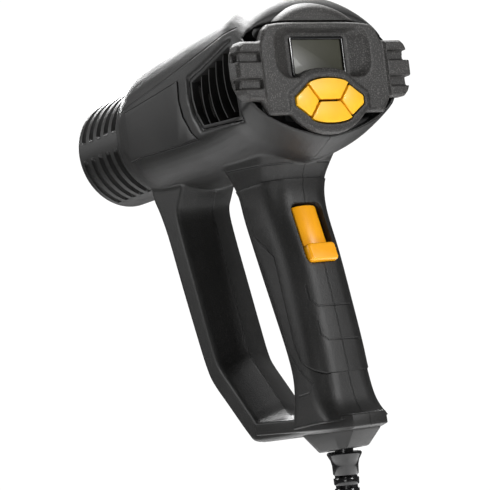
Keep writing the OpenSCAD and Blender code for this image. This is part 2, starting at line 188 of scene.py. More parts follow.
# Hand guard from the foot up: outer x, outer z, ridge x, ridge z, edge set back from the ridge
GUARD = [
    (6, -68.4, 6, -57.4, 1),
    (-30, -68.2, -30, -55.6, 3.5),
    (-48, -67, -39, -51.4, 6),
    (-54.5, -62.5, -44, -45, 6.5),
    (-70, -43.5, -56.5, -28.2, 6.5),
    (-82, -28.5, -65.2, -16.5, 6.5),
    (-86.6, -18.5, -67.8, -10, 6.5),
    (-91, -2, -70.2, 4, 7),
    (-99, 33, -75.3, 35, 8),
    (-106, 66, -80, 62, 9),
    (-111, 82, -81.5, 76, 9),
    (-115, 92, -78, 84, 8),
    (-116.5, 108, -70, 102, 4),
]

PANEL = [
    (0, 31.4), (20, 31.3), (30, 30.9), (37, 30), (40.6, 27.2), (44.2, 20.5), (46.2, 20), (46.2, -13),
    (43.5, -17.4), (41, -21.3), (34, -21.5), (26.8, -21.5), (22.5, -25.6), (18, -28.7), (12.5, -31.4),
    (6.5, -33), (0, -33.5),
]
LUG = [
    (44, 20.3), (57.6, 20.3), (60.3, 18), (62.3, 13.5), (63, 9), (63, 0), (62, -5), (59.6, -9.8),
    (56.4, -12.8), (44, -13.2),
]
VENT = [
    (28.5, 25.2), (-26.4, 15.6), (-27.6, 4), (-25.4, -5.5), (-19, -15.4), (27.5, -20.2), (29, -16),
]
BADGE = [
    (-103.6, 12.6), (-37.6, 17.2), (-39.4, 6), (-37.4, -4), (-30.6, -15), (-24.6, -20.4), (-92, -16.6),
    (-104.4, -16.8),
]

INSERT = [
    (-27, -52), (-20, -62), (-17, -80), (-2, -95), (0, -112), (5, -149), (9, -158), (16, -163), (22, -166.5),
]


# ---------- mesh helpers ----------


def mesh_object(name, verts, faces, scale=MM):
    """A mesh object in metres from points in millimetres, its faces turned outwards."""
    mesh = bpy.data.meshes.new(name)
    mesh.from_pydata([tuple(c * scale for c in v) for v in verts], [], faces)
    bm = bmesh.new()
    bm.from_mesh(mesh)
    bmesh.ops.remove_doubles(bm, verts=bm.verts, dist=1e-7)
    bmesh.ops.recalc_face_normals(bm, faces=bm.faces)
    bm.to_mesh(mesh)
    bm.free()
    obj = bpy.data.objects.new(name, mesh)
    bpy.context.scene.collection.objects.link(obj)
    return obj


def loft(name, rings):
    """Closed solid through rings of points."""
    n = len(rings[0])
    verts = [p for ring in rings for p in ring]
    faces = [
        (i * n + k, i * n + (k + 1) % n, (i + 1) * n + (k + 1) % n, (i + 1) * n + k)
        for i in range(len(rings) - 1)
        for k in range(n)
    ]
    faces.append(tuple(range(n)))
    faces.append(tuple((len(rings) - 1) * n + k for k in range(n)))
    return mesh_object(name, verts, faces)


def lathe(name, profile, place, steps=64):
    """Solid of revolution: profile is (radius, height) pairs, place maps (x, y, height) to the frame."""
    angles = [2 * math.pi * k / steps for k in range(steps)]
    rings = [[place(r * math.cos(a), r * math.sin(a), h) for a in angles] for r, h in profile]
    return loft(name, rings)


def evaluated(obj):
    """The object with its modifiers made part of its mesh."""
    graph = bpy.context.evaluated_depsgraph_get()
    mesh = bpy.data.meshes.new_from_object(obj.evaluated_get(graph))
    old = obj.data
    obj.modifiers.clear()
    obj.data = mesh
    bpy.data.meshes.remove(old)
    return obj


def combine(obj, other, operation):
    """Cuts, joins or crosses obj with other, which is used up."""
    mod = obj.modifiers.new("shape", "BOOLEAN")
    mod.operation, mod.solver, mod.object = operation, "EXACT", other
    evaluated(obj)
    bpy.data.objects.remove(other)
    return obj


def joined(name, parts):
    """One object from several closed solids."""
    bm = bmesh.new()
    for part in parts:
        bm.from_mesh(part.data)
        bpy.data.objects.remove(part)
    mesh = bpy.data.meshes.new(name)
    bm.to_mesh(mesh)
    bm.free()
    obj = bpy.data.objects.new(name, mesh)
    bpy.context.scene.collection.objects.link(obj)
    return obj


def moulded(obj, voxel, passes):
    """One skin over all the solids in obj, its edges softened."""
    mod = obj.modifiers.new("skin", "REMESH")
    mod.mode, mod.voxel_size = "VOXEL", voxel
    if passes:
        soft = obj.modifiers.new("soften", "SMOOTH")
        soft.factor, soft.iterations = 0.5, passes
    evaluated(obj)
    return shade(obj)


def bevelled(obj, width, segments=3, angle=30):
    """Rounds the sharp edges."""
    mod = obj.modifiers.new("bevel", "BEVEL")
    mod.width, mod.segments, mod.limit_method = width, segments, "ANGLE"
    mod.angle_limit = math.radians(angle)
    mod.harden_normals = False
    evaluated(obj)
    return shade(obj)


def shade(obj, angle=None):
    """Smooth shading, with sharp edges past the angle."""
    mesh = obj.data
    mesh.polygons.foreach_set("use_smooth", [True] * len(mesh.polygons))
    if angle:
        mesh.set_sharp_from_angle(angle=math.radians(angle))
    mesh.update()
    return obj


def dress(obj, material, body, slot, *replaced):
    """Gives a piece its finish, its body, and the CAD nodes it stands for."""
    obj.data.materials.clear()
    obj.data.materials.append(material)
    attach(obj, body)
    if replaced:
        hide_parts(*replaced)
    return obj


# ---------- shader helpers ----------


class Sock:
    """A node socket that takes part in arithmetic."""

    def __init__(self, shader, socket):
        self.shader, self.socket = shader, socket

    def _op(self, operation, *values):
        return self.shader.node("ShaderNodeMath", {"operation": operation}, dict(enumerate(values)))

    def __add__(self, other):
        return self._op("ADD", self, other)

    __radd__ = __add__

    def __sub__(self, other):
        return self._op("SUBTRACT", self, other)

    def __rsub__(self, other):
        return self._op("SUBTRACT", other, self)

    def __mul__(self, other):
        return self._op("MULTIPLY", self, other)

    __rmul__ = __mul__

    def __abs__(self):
        return self._op("ABSOLUTE", self)

    def below(self, other):
        return self._op("MINIMUM", self, other)

    def above(self, other):
        return self._op("MAXIMUM", self, other)

    def root(self):
        return self._op("SQRT", self)

    def ramp(self, low, high):
        """0 at low and 1 at high, smooth between."""
        settings = {"interpolation_type": "SMOOTHSTEP"}
        values = {"Value": self, "From Min": low, "From Max": high}
        return self.shader.node("ShaderNodeMapRange", settings, values)


class Shader:
    """A material and the one way its nodes are made."""

    def __init__(self, name, metallic=0.0, coat=0.0, specular=0.5):
        self.material = bpy.data.materials.new(name)
        self.material.use_nodes = True
        self.tree = self.material.node_tree
        self.bsdf = self.tree.nodes["Principled BSDF"]
        self.bsdf.inputs["Metallic"].default_value = metallic
        self.bsdf.inputs["Coat Weight"].default_value = coat
        self.bsdf.inputs["Specular IOR Level"].default_value = specular

    def node(self, kind, settings=None, values=None, output=0):
        made = self.tree.nodes.new(kind)
        for key, value in (settings or {}).items():
            setattr(made, key, value)
        for key, value in (values or {}).items():
            self.put(made.inputs[key], value)
        return Sock(self, made.outputs[output])

    def put(self, socket, value):
        if isinstance(value, Sock):
            self.tree.links.new(value.socket, socket)
        elif socket.type == "RGBA" and len(value) == 3:
            socket.default_value = (*value, 1)
        else:
            socket.default_value = value

    def place(self):
        """Object coordinates, split into x, y and z."""
        spot = self.node("ShaderNodeTexCoord", output=3)
        return spot, [self.node("ShaderNodeSeparateXYZ", values={0: spot}, output=i) for i in range(3)]

    def noise(self, spot, scale, detail=2.0):
        return self.node("ShaderNodeTexNoise", values={"Vector": spot, "Scale": scale, "Detail": detail})

    def mix(self, factor, a, b):
        made = self.tree.nodes.new("ShaderNodeMix")
        made.data_type = "RGBA"
        self.put(made.inputs[0], factor)
        self.put(made.inputs[6], a)
        self.put(made.inputs[7], b)
        return Sock(self, made.outputs[2])

    def bump(self, height, distance, strength=1.0):
        values = {"Height": height, "Distance": distance, "Strength": strength}
        normal = self.node("ShaderNodeBump", values=values)
        self.put(self.bsdf.inputs["Normal"], normal)

    def colour(self, value):
        self.put(self.bsdf.inputs["Base Color"], value)

    def rough(self, value):
        self.put(self.bsdf.inputs["Roughness"], value)


def segment_distance(shader, x, z, points):
    """Distance in the x, z plane to a line through points, in metres."""
    nearest = None
    for (ax, az), (bx, bz) in zip(points, points[1:]):
        dx, dz = bx - ax, bz - az
        length = math.hypot(dx, dz)
        ux, uz = dx / length, dz / length
        along = ((x - ax) * ux + (z - az) * uz).above(0.0).below(length)
        px, pz = x - ax - along * ux, z - az - along * uz
        far = (px * px + pz * pz).root()
        nearest = far if nearest is None else nearest.below(far)
    return nearest


def plain_plastic(name, colour, roughness, grain=0.00012, scale=2600, speckle=0.0, seam_and_shade_lines=()):
    """Moulded plastic with a fine grain, slight mottling and, where given, fine dark lines: seam lines, and
    painted shade where a line stands in for a shadowed crease.
    """
    s = Shader(name, specular=0.38)
    spot, (x, y, z) = s.place()
    fine = s.noise(spot, scale, 3.0)
    broad = s.noise(spot, 38, 3.0)
    tint = broad.ramp(0.3, 0.75)
    base = s.mix(tint, [c * 0.86 for c in colour], [c * 1.16 for c in colour])
    if speckle:
        dots = s.noise(spot, 1400, 1.0).ramp(0.54, 0.66)
        base = s.mix(dots * speckle, base, [min(c * 5.5, 1) for c in colour])
    height = fine * 1.0
    # each line darkens the colour and cuts a bumped groove; most are seams, one is painted shade along the
    # barrel's root crease
    for points, width, across, start in seam_and_shade_lines:
        metres = [(p * MM, q * MM + AXIS_Z) for p, q in points]
        gap = segment_distance(s, y if across == "x" else x, z, metres)
        line = 1 - gap.ramp(width * 0.45 * MM, width * MM)
        line = line * (x if across == "x" else abs(y)).ramp(start * MM, (start + 2) * MM)
        base = s.mix(line * 0.85, base, (0.002, 0.002, 0.002))
        height = height - line * 4.0
    parting = 1 - abs(y).ramp(0.00018, 0.0005)
    if seam_and_shade_lines:
        base = s.mix(parting * 0.8, base, (0.002, 0.002, 0.002))
        height = height - parting * 3.0
    s.colour(base)
    s.rough((broad.ramp(0.25, 0.8) * 0.08 + roughness) + fine * 0.06)
    s.bump(height, grain, 0.6)
    return s.material


def glossy_plastic(name, colour, roughness=0.3, coat=0.25):
    """Smooth moulded plastic with a faint unevenness."""
    s = Shader(name, coat=coat)
    spot, _ = s.place()
    broad = s.noise(spot, 60, 2.0)
    s.colour(s.mix(broad.ramp(0.3, 0.7), [c * 0.95 for c in colour], [min(c * 1.04, 1) for c in colour]))
    s.rough(broad * 0.08 + roughness)
    s.bump(s.noise(spot, 900, 2.0), 0.00003, 0.4)
    return s.material


def metal(name, colour, roughness, heat=False):
    """Drawn steel, blued towards the hot end where heat is set."""
    s = Shader(name, metallic=1.0)
    spot, (x, _y, _z) = s.place()
    fine = s.noise(spot, 700, 3.0)
    base = s.mix(fine, [c * 0.85 for c in colour], colour)
    if heat:
        base = s.mix(1 - x.ramp(-0.180, -0.150), base, (0.35, 0.24, 0.16))
    s.colour(base)
    s.rough(fine * 0.15 + roughness)
    s.bump(fine, 0.00004, 0.4)
    return s.material


def finishes(scene):
    """Every material of the gun, by name."""
    body, trim = scene.gun_housing, scene.gun_trim
    side_seam = [(-112, 14.5), (-57, 21.5), (-10, 27.5), (32, 31.5)]
    # painted shade: a dark line with a bumped groove along the crease where the barrel's underside meets the
    # grip
    root_shadow_line = [(-30, -39), (-27, -40), (-8, -41.5), (20, -44), (42, -48)]
    lobe = [(-16, -96), (-4.5, -146), (5, -161), (15, -171), (12, -176), (2, -176.5)]
    pads = [
        [(-15, -115), (-15, -123), (-11, -127.5), (12, -128)],
        [(-13.5, -136), (-13.5, -144), (-9, -147.5), (12, -148)],
    ]
    return {
        "housing": plain_plastic(
            "charcoal_plastic", tuple(body.colour), 0.4, 0.0002, 1300, 0.22,
            seam_and_shade_lines=(
                (side_seam, 0.7, "y", 30), (root_shadow_line, 0.7, "y", 8), (INSERT[1:], 0.75, "y", 0),
                (lobe, 0.75, "y", 9), (pads[0], 0.55, "x", 10), (pads[1], 0.55, "x", 10),
                (BADGE + BADGE[:1], 0.8, "y", 28),
            ),
        ),
        "plain": plain_plastic("dark_plastic", tuple(body.colour), 0.42),
        "trim": plain_plastic("speckled_plastic", tuple(trim.trim), 0.46, 0.0002, 1500, 0.55),
        "keys": glossy_plastic("amber_keys", tuple(trim.keys), 0.42, 0.1),
        "switch": glossy_plastic("orange_switch", tuple(trim.switch), 0.3, 0.35),
        "glass": glossy_plastic("display_olive", tuple(trim.display), 0.38, 0.08),
        "steel": metal("drawn_steel", (0.56, 0.55, 0.53), 0.28, heat=True),
        "zinc": metal("screw_steel", (0.4, 0.4, 0.41), 0.35),
        "mica": plain_plastic("mica", (0.5, 0.46, 0.37), 0.55),
        "element": metal("heating_wire", (0.28, 0.22, 0.18), 0.5),
        "board": plain_plastic("circuit_board", (0.02, 0.1, 0.045), 0.4),
        "black": plain_plastic("inner_black", (0.006, 0.006, 0.006), 0.6),
        "gloss": glossy_plastic("glossy_black", (0.003, 0.003, 0.0033), 0.16, 0.2),
        "flex": glossy_plastic("cord_sheath", (0.012, 0.012, 0.013), 0.35, 0.15),
    }


# ---------- geometry nodes ----------


def copies_tree(name, material):
    """Node group that sets copies of a mesh along a line and gives them one material."""
    tree = bpy.data.node_groups.new(name, "GeometryNodeTree")
    face = tree.interface
    face.new_socket("Geometry", in_out="INPUT", socket_type="NodeSocketGeometry")
    face.new_socket("Copies", in_out="INPUT", socket_type="NodeSocketInt")
    face.new_socket("Step", in_out="INPUT", socket_type="NodeSocketVector")
    face.new_socket("Geometry", in_out="OUTPUT", socket_type="NodeSocketGeometry")
    start, end = tree.nodes.new("NodeGroupInput"), tree.nodes.new("NodeGroupOutput")
    line = tree.nodes.new("GeometryNodeMeshLine")
    on_points = tree.nodes.new("GeometryNodeInstanceOnPoints")
    real = tree.nodes.new("GeometryNodeRealizeInstances")
    paint = tree.nodes.new("GeometryNodeSetMaterial")
    paint.inputs["Material"].default_value = material
    link = tree.links.new
    link(start.outputs["Copies"], line.inputs["Count"])
    link(start.outputs["Step"], line.inputs["Offset"])
    link(line.outputs["Mesh"], on_points.inputs["Points"])
    link(start.outputs["Geometry"], on_points.inputs["Instance"])
    link(on_points.outputs["Instances"], real.inputs["Geometry"])
    link(real.outputs["Geometry"], paint.inputs["Geometry"])
    link(paint.outputs["Geometry"], end.inputs["Geometry"])
    return tree


def copied(obj, count, step, material):
    """The object repeated along a line, as one plain mesh."""
    tree = copies_tree(obj.name + "_row", material)
    mod = obj.modifiers.new("row", "NODES")
    mod.node_group = tree
    ids = {item.name: item.identifier for item in tree.interface.items_tree if item.in_out == "INPUT"}
    mod[ids["Copies"]] = count
    mod[ids["Step"]] = step
    return evaluated(obj)


# ---------- shapes that several pieces share ----------


def panel_place(u, v, d):
    """From the rear panel's own frame, d out of its face, to the part's frame in millimetres."""
    lean = math.radians(3.5)
    return (46 + d * math.cos(lean) + v * math.sin(lean), u, AXIS - d * math.sin(lean) + v * math.cos(lean))


def panel_loft(name, layers):
    """Solid through outlines on the rear panel: layers are (depth, points)."""
    return loft(name, [[panel_place(u, v, d) for u, v in points] for d, points in layers])


def inset(points, amount):
    """Outline moved in by a distance."""
    n = len(points)
    area = sum(ax * by - bx * ay for (ax, ay), (bx, by) in zip(points, points[1:] + points[:1]))
    turn = 1 if area > 0 else -1
    out = []
    for i in range(n):
        (ax, ay), (bx, by), (cx, cy) = points[i - 1], points[i], points[(i + 1) % n]
        d1, d2 = Vector((bx - ax, by - ay)).normalized(), Vector((cx - bx, cy - by)).normalized()
        n1, n2 = Vector((-d1.y, d1.x)) * turn, Vector((-d2.y, d2.x)) * turn
        bisector = n1 + n2
        k = amount / max(0.35, bisector.length_squared / 2)
        out.append((bx + bisector.x * k, by + bisector.y * k))
    return out


def prism_y(name, points, y0, y1):
    """Straight prism along Y from an outline in the x, height-over-axis plane."""
    return loft(name, [[(x, y, AXIS + z) for x, z in points] for y in (y0, y1)])


def barrel_solid(name, grow=0.0):
    """The barrel's outer shape, made larger by grow."""
    rings = []
    for x, w, z0, top, z1, low, power in through(BARREL, 4):
        half = quarter(w + grow, -z1, -(low + grow), power)[::-1] + quarter(w + grow, z0, top + grow, 2.02)
        rings.append([(x, y, AXIS + z) for y, z in mirrored(half)])
    return loft(name, rings)


def bore():
    """Round space behind the collar."""
    return lathe("bore", [(32.6, -125), (32.6, -96)], lambda a, b, h: (h, a, AXIS + b))


def oval(grow=0.0, n=10):
    """Outline of the key field: flat arcs above and below, blunt points at the sides."""
    right = [(24.6, 2.3), (24.6, -2.3)]
    top = [(15 * math.cos(math.pi * i / n), 9.0 + 4.0 * math.sin(math.pi * i / n)) for i in range(n + 1)]
    low = [(x, -z) for x, z in top[::-1]]
    points = top + [(-24.6, 2.3), (-24.6, -2.3)] + low + right[::-1]
    return [(x, y) for x, y in inset(points, -grow)] if grow else points


# ---------- pieces ----------


class PieceOperator(bpy.types.Operator):
    """Base of every step, which needs the finishes"""

    bl_idname = "gun.piece"
    bl_label = "Gun piece"
    paints = {}

    def execute(self, context):
        self.build(context.scene, PieceOperator.paints)
        return {"FINISHED"}


class GUN_OT_stage(PieceOperator):
    """Camera, lights, floor and backdrop light"""

    bl_idname = "gun.stage"
    bl_label = "Stage"

    def build(self, scene, paints):
        camera = bpy.data.objects.new("camera", bpy.data.cameras.new("camera"))
        camera.data.lens, camera.data.sensor_width = 183.67, 36
        camera.data.clip_end = 20
        az, el, roll = (math.radians(a) for a in (53.13, -6.45, -8.87))
        back = Vector((math.sin(az) * math.cos(el), -math.cos(az) * math.cos(el), math.sin(el)))
        side = Vector((math.cos(az), math.sin(az), 0))
        up = back.cross(side)
        right = side * math.cos(roll) + up * math.sin(roll)
        turn = Matrix((right, back.cross(right), back)).transposed().to_4x4()
        camera.matrix_world = Matrix.Translation((1.1305, -0.8891, -0.1168)) @ turn
        scene.collection.objects.link(camera)
        scene.camera = camera

        rim = [(750 * math.cos(math.pi * k / 48), 750 * math.sin(math.pi * k / 48), -345) for k in range(96)]
        floor = mesh_object("floor", rim, [tuple(range(96))])
        s = Shader("pale_floor")
        s.colour((0.86, 0.86, 0.86))
        s.rough(0.7)
        floor.data.materials.append(s.material)

        world = bpy.data.worlds.new("studio")
        world.use_nodes = True
        tree = world.node_tree
        background, path = tree.nodes["Background"], tree.nodes.new("ShaderNodeLightPath")
        shown = tree.nodes.new("ShaderNodeMapRange")
        shown.inputs["To Min"].default_value, shown.inputs["To Max"].default_value = 0.12, 1.05
        background.inputs["Color"].default_value = (1, 1, 1, 1)
        tree.links.new(path.outputs["Is Camera Ray"], shown.inputs["Value"])
        tree.links.new(shown.outputs["Result"], background.inputs["Strength"])
        scene.world = world
        scene.view_settings.view_transform = "Standard"
        for name, spot, size, power in (
            ("top", (-0.2, 0.15, 1.0), 0.55, 40),
            ("left", (-0.75, -0.9, 0.55), 0.35, 7),
            ("rear", (1.1, 0.35, 0.35), 0.3, 9),
            ("far", (-0.95, 0.5, 0.62), 0.6, 22),
            ("front", (0.9, -1.0, -0.1), 0.4, 2.4),
        ):
            light = bpy.data.objects.new(name, bpy.data.lights.new(name, "AREA"))
            light.data.size, light.data.energy = size, power
            light.location = spot
            light.rotation_euler = (Vector(spot) - Vector((0, 0, 0.09))).to_track_quat("Z", "Y").to_euler()
            scene.collection.objects.link(light)


class GUN_OT_cord(PieceOperator):
    """Mains cord with its coil, tie and plug"""

    bl_idname = "gun.cord"
    bl_label = "Cord"

    ROUTE = [
        (0.8, 0, -139), (-0.4, 0, -147), (-1.8, 0, -155), (-5, 0, -163), (-10, 0, -170.5), (-16, 0, -176.5),
        (-23, -1.5, -182.5), (-30, -3.2, -187.5),
    ]
    TAIL = [(-59.3, 3.7, -246), (-59.3, 3.7, -256), (-59.3, 3.7, -265), (-59.3, 3.7, -272)]
    OUTER_TURN = 53.25
    PITCH = 7.5

    def coil(self):
        """Turns of the coil: in along one side, across, and out along the other."""

        def ease(s, start):
            t = min(max((s - start) / 60, 0), 1)
            return t * t * (3 - 2 * t)

        points = []
        for i in range(258):
            s = i * 2575 / 257
            inward = sum(ease(s, a) for a in (300, 660, 1020))
            outward = sum(ease(s, a) for a in (1520, 1880, 2240))
            r = self.OUTER_TURN - self.PITCH * inward + self.PITCH * outward
            y = self.PITCH * (ease(s, 1220) - 0.5)
            a = math.radians(55 - s)
            points.append((-6 - r * math.cos(a), y, -236 + r * math.sin(a)))
        return points

    def build(self, scene, paints):
        radius = scene.gun_cord.diameter / 2
        route = [tuple(p) for p in through(self.ROUTE, 2)]
        points = route + self.coil() + self.TAIL
        curve = bpy.data.curves.new("mains_lead", "CURVE")
        curve.dimensions, curve.bevel_depth, curve.bevel_resolution = "3D", radius, 4
        curve.use_fill_caps = True
        spline = curve.splines.new("POLY")
        spline.points.add(len(points) - 1)
        for p, q in zip(spline.points, points):
            p.co = (*(c * MM for c in q), 1)
        spline.use_smooth = True
        lead = bpy.data.objects.new("mains_lead", curve)
        scene.collection.objects.link(lead)
        curve.materials.append(paints["flex"])
        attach(lead, "housing")
        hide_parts("mains_cord", "cord_coil")
        length = sum((Vector(a) - Vector(b)).length for a, b in zip(points, points[1:])) * MM

        plug = lathe(
            "moulded_plug",
            [
                (0, 0), (5.4, 0), (5.8, 3), (6.4, 12), (7.6, 18), (9.6, 22.5), (14.2, 27), (17.2, 30.5),
                (18.3, 34), (18.4, 44), (17.6, 45.8), (0, 46),
            ],
            lambda x, y, h: (-59.3 + x, 3.7 + y, -272 - h),
            48,
        )
        dress(shade(plug, 40), paints["flex"], "housing", "flex", "plug_body")
        strap = coil_strap_solid()
        dress(strap, paints["black"], "housing", "flex", "coil_tie")
        nodes["plug_pins"].data.materials.clear()
        nodes["plug_pins"].data.materials.append(paints["zinc"])
        [c * MM for c in self.ROUTE[0]]


def coil_strap_solid():
    """Strap round the coil, a flat band with round corners."""
    rings = []
    outer, inner = round_box(17, 9.5, 4), round_box(15.8, 8.3, 3.2)
    for points, z in ((outer, -4.5), (outer, 4.5), (inner, 4.5), (inner, -4.5), (outer, -4.5)):
        rings.append([(36 + a, b, -236 + z) for a, b in points])
    n = len(outer)
    verts = [p for ring in rings[:4] for p in ring]
    faces = [
        (i * n + k, i * n + (k + 1) % n, ((i + 1) % 4) * n + (k + 1) % n, ((i + 1) % 4) * n + k)
        for i in range(4)
        for k in range(n)
    ]
    return bevelled(mesh_object("coil_strap", verts, faces), 0.0003, 2)


class GUN_OT_housing(PieceOperator):
    """Two halves of the moulded housing: barrel, grip, hand guard and foot"""

    bl_idname = "gun.housing"
    bl_label = "Housing"

    def grip(self, grow=0.0):
        rings = [
            [(mid + x, y, z) for x, y in round_box(depth + grow, width + grow, corner)]
            for z, mid, depth, width, corner in through(GRIP, 4)
        ]
        grip = loft("grip", rings)
        pocket = loft("pocket", [
            [(d, y, z) for y, z in round_box(11.2 + d * 0.12, 18.6 + d * 0.1, 4.5)] for d in (-5, 12)
        ])
        pocket.data.transform(SWITCH_TURN)
        return combine(grip, pocket, "DIFFERENCE")

    def guard(self):
        rings = []
        for ox, oz, rx, rz, back in through(GUARD, 3):
            across = Vector((rx - ox, rz - oz))
            depth = across.length
            u = across / depth
            outline = [
                (0, -17), (0.4, -18.6), (2, -20), (depth - back - 1.5, -20), (depth - back, -18.8),
                (depth - back * 0.5, -10), (depth, 0),
                (depth - back * 0.5, 10), (depth - back, 18.8), (depth - back - 1.5, 20), (2, 20),
                (0.4, 18.6), (0, 17),
            ]
            rings.append([(ox + a * u.x, b, oz + a * u.y) for a, b in outline])
        return combine(loft("guard", rings), bore(), "DIFFERENCE")

    def foot(self):
        tilt = math.tan(math.radians(4))
        rim = [
            (36, -12.3), (36, 12.3), (22, 19.5), (13, 21.5), (-45, 20.5), (-52, 17), (-52, -17), (-45, -20.5),
            (13, -21.5), (22, -19.5),
        ]
        low = [
            (30, -11), (30, 11), (19, 16), (10, 17), (-38, 15), (-42, 12), (-42, -12), (-38, -15), (10, -17),
            (19, -16),
        ]
        plate = loft("foot", [
            [(x, y, -59.8 - (x - 12) * tilt) for x, y in inset(rim, 0.8)],
            [(x, y, -60.6 - (x - 12) * tilt) for x, y in rim],
            [(x, y, -67.2 - (x - 12) * tilt) for x, y in rim],
            [(x, y, -69.3 - (x - 12) * tilt) for x, y in low],
        ])
        return plate

    def build(self, scene, paints):
        size = scene.gun_housing
        barrel = barrel_solid("barrel")
        rear = []
        for x in (31.6, 60):
            half = quarter(50.2, -12, -33.2, 1.5)[::-1] + quarter(50.2, 21, 33.5, 2.6)
            rear.append([(x, y, AXIS + z) for y, z in mirrored(half)])
        combine(barrel, loft("rear_space", rear), "DIFFERENCE")
        combine(barrel, bore(), "DIFFERENCE")
        for side in (-1, 1):
            combine(barrel, prism_y("inlet", VENT, side * 30, side * 70), "DIFFERENCE")
            lip = inset(VENT, -1.6)
            sunk = prism_y("lip", lip, side * 30, side * 70)
            skin = barrel_solid("skin", -1.1)
            combine(sunk, skin, "DIFFERENCE")
            combine(barrel, sunk, "DIFFERENCE")
        whole = joined("housing", [barrel, self.grip(), self.guard()])
        moulded(whole, size.voxel, size.softness)
        for name, side, node in (("housing_left", -1, "left_shell"), ("housing_right", 1, "right_shell")):
            bm = bmesh.new()
            bm.from_mesh(whole.data)
            geom = bm.verts[:] + bm.edges[:] + bm.faces[:]
            cut = bmesh.ops.bisect_plane(
                bm, geom=geom, plane_co=(0, 0, 0), plane_no=(0, -side, 0), clear_outer=True
            )
            edges = [e for e in cut["geom_cut"] if isinstance(e, bmesh.types.BMEdge)]
            bmesh.ops.triangle_fill(bm, edges=edges, use_beauty=True)
            bmesh.ops.recalc_face_normals(bm, faces=bm.faces)
            mesh = bpy.data.meshes.new(name)
            bm.to_mesh(mesh)
            bm.free()
            half = bpy.data.objects.new(name, mesh)
            scene.collection.objects.link(half)
            shade(half, 50)
            dress(half, paints["housing"], "housing", "housing", node)
        bpy.data.objects.remove(whole)
        region = prism_y("insert", INSERT + [(60, -167), (60, -52)], -40, 40)
        pad = combine(self.grip(0.5), region, "INTERSECT")
        pad.name = "grip_pad"
        dress(bevelled(pad, 0.0003, 2, 35), paints["housing"], "housing", "grip", "grip_cover")
        foot = bevelled(self.foot(), 0.0009, 3, 20)
        foot.name = "foot_plate"
        dress(foot, paints["housing"], "housing", "housing")


class GUN_OT_sides(PieceOperator):
    """Side panels, inlet frames and fins"""

    bl_idname = "gun.sides"
    bl_label = "Sides"

    def build(self, scene, paints):
        for name, side in (("left", -1), ("right", 1)):
            plate = prism_y(name + "_side_panel", BADGE, side * 30, side * 60)
            combine(plate, barrel_solid("skin", 0.8), "INTERSECT")
            bevelled(plate, 0.0005, 3)
            dress(plate, paints["plain"], "housing", "trim", name + "_badge")

            frame_ring = prism_y(name + "_inlet_frame", inset(VENT, 0.3), side * 30.2, side * 60)
            combine(frame_ring, prism_y("hole", inset(VENT, 2.2), side * 29, side * 62), "DIFFERENCE")
            combine(frame_ring, barrel_solid("skin", -1.6), "INTERSECT")
            bevelled(frame_ring, 0.0004, 2)
            dress(frame_ring, paints["plain"], "housing", "housing", name + "_vent")

            fin = []
            for k in range(13):
                a = math.radians(-38 + 76 * k / 12)
                fin.append((15.5 - 33 * math.cos(a), 3 + 33 * math.sin(a)))
            blade = loft("blade", [
                [(x, side * 31, AXIS + z) for x, z in fin + [(x + 1.3, z) for x, z in fin[::-1]]],
                [(x, side * 56, AXIS + z) for x, z in fin + [(x + 0.8, z) for x, z in fin[::-1]]],
            ])
            row = copied(blade, 5, (0.0098, 0, 0.0012), paints["plain"])
            row.name = name + "_fins"
            combine(row, barrel_solid("skin", -3.2), "INTERSECT")
            combine(row, prism_y("inside", inset(VENT, 2.2), side * 29, side * 62), "INTERSECT")
            shade(row, 35)
            dress(row, paints["plain"], "housing", "housing")

            block_outline = [(-25.5, 12), (-17, 9), (-14.5, -3), (-13, -14.5), (-18, -14.5), (-24, -5)]
            block = prism_y(name + "_inner_block", block_outline, side * 31, side * 38.5)
            dress(bevelled(block, 0.0006, 2), paints["trim"], "housing", "housing")


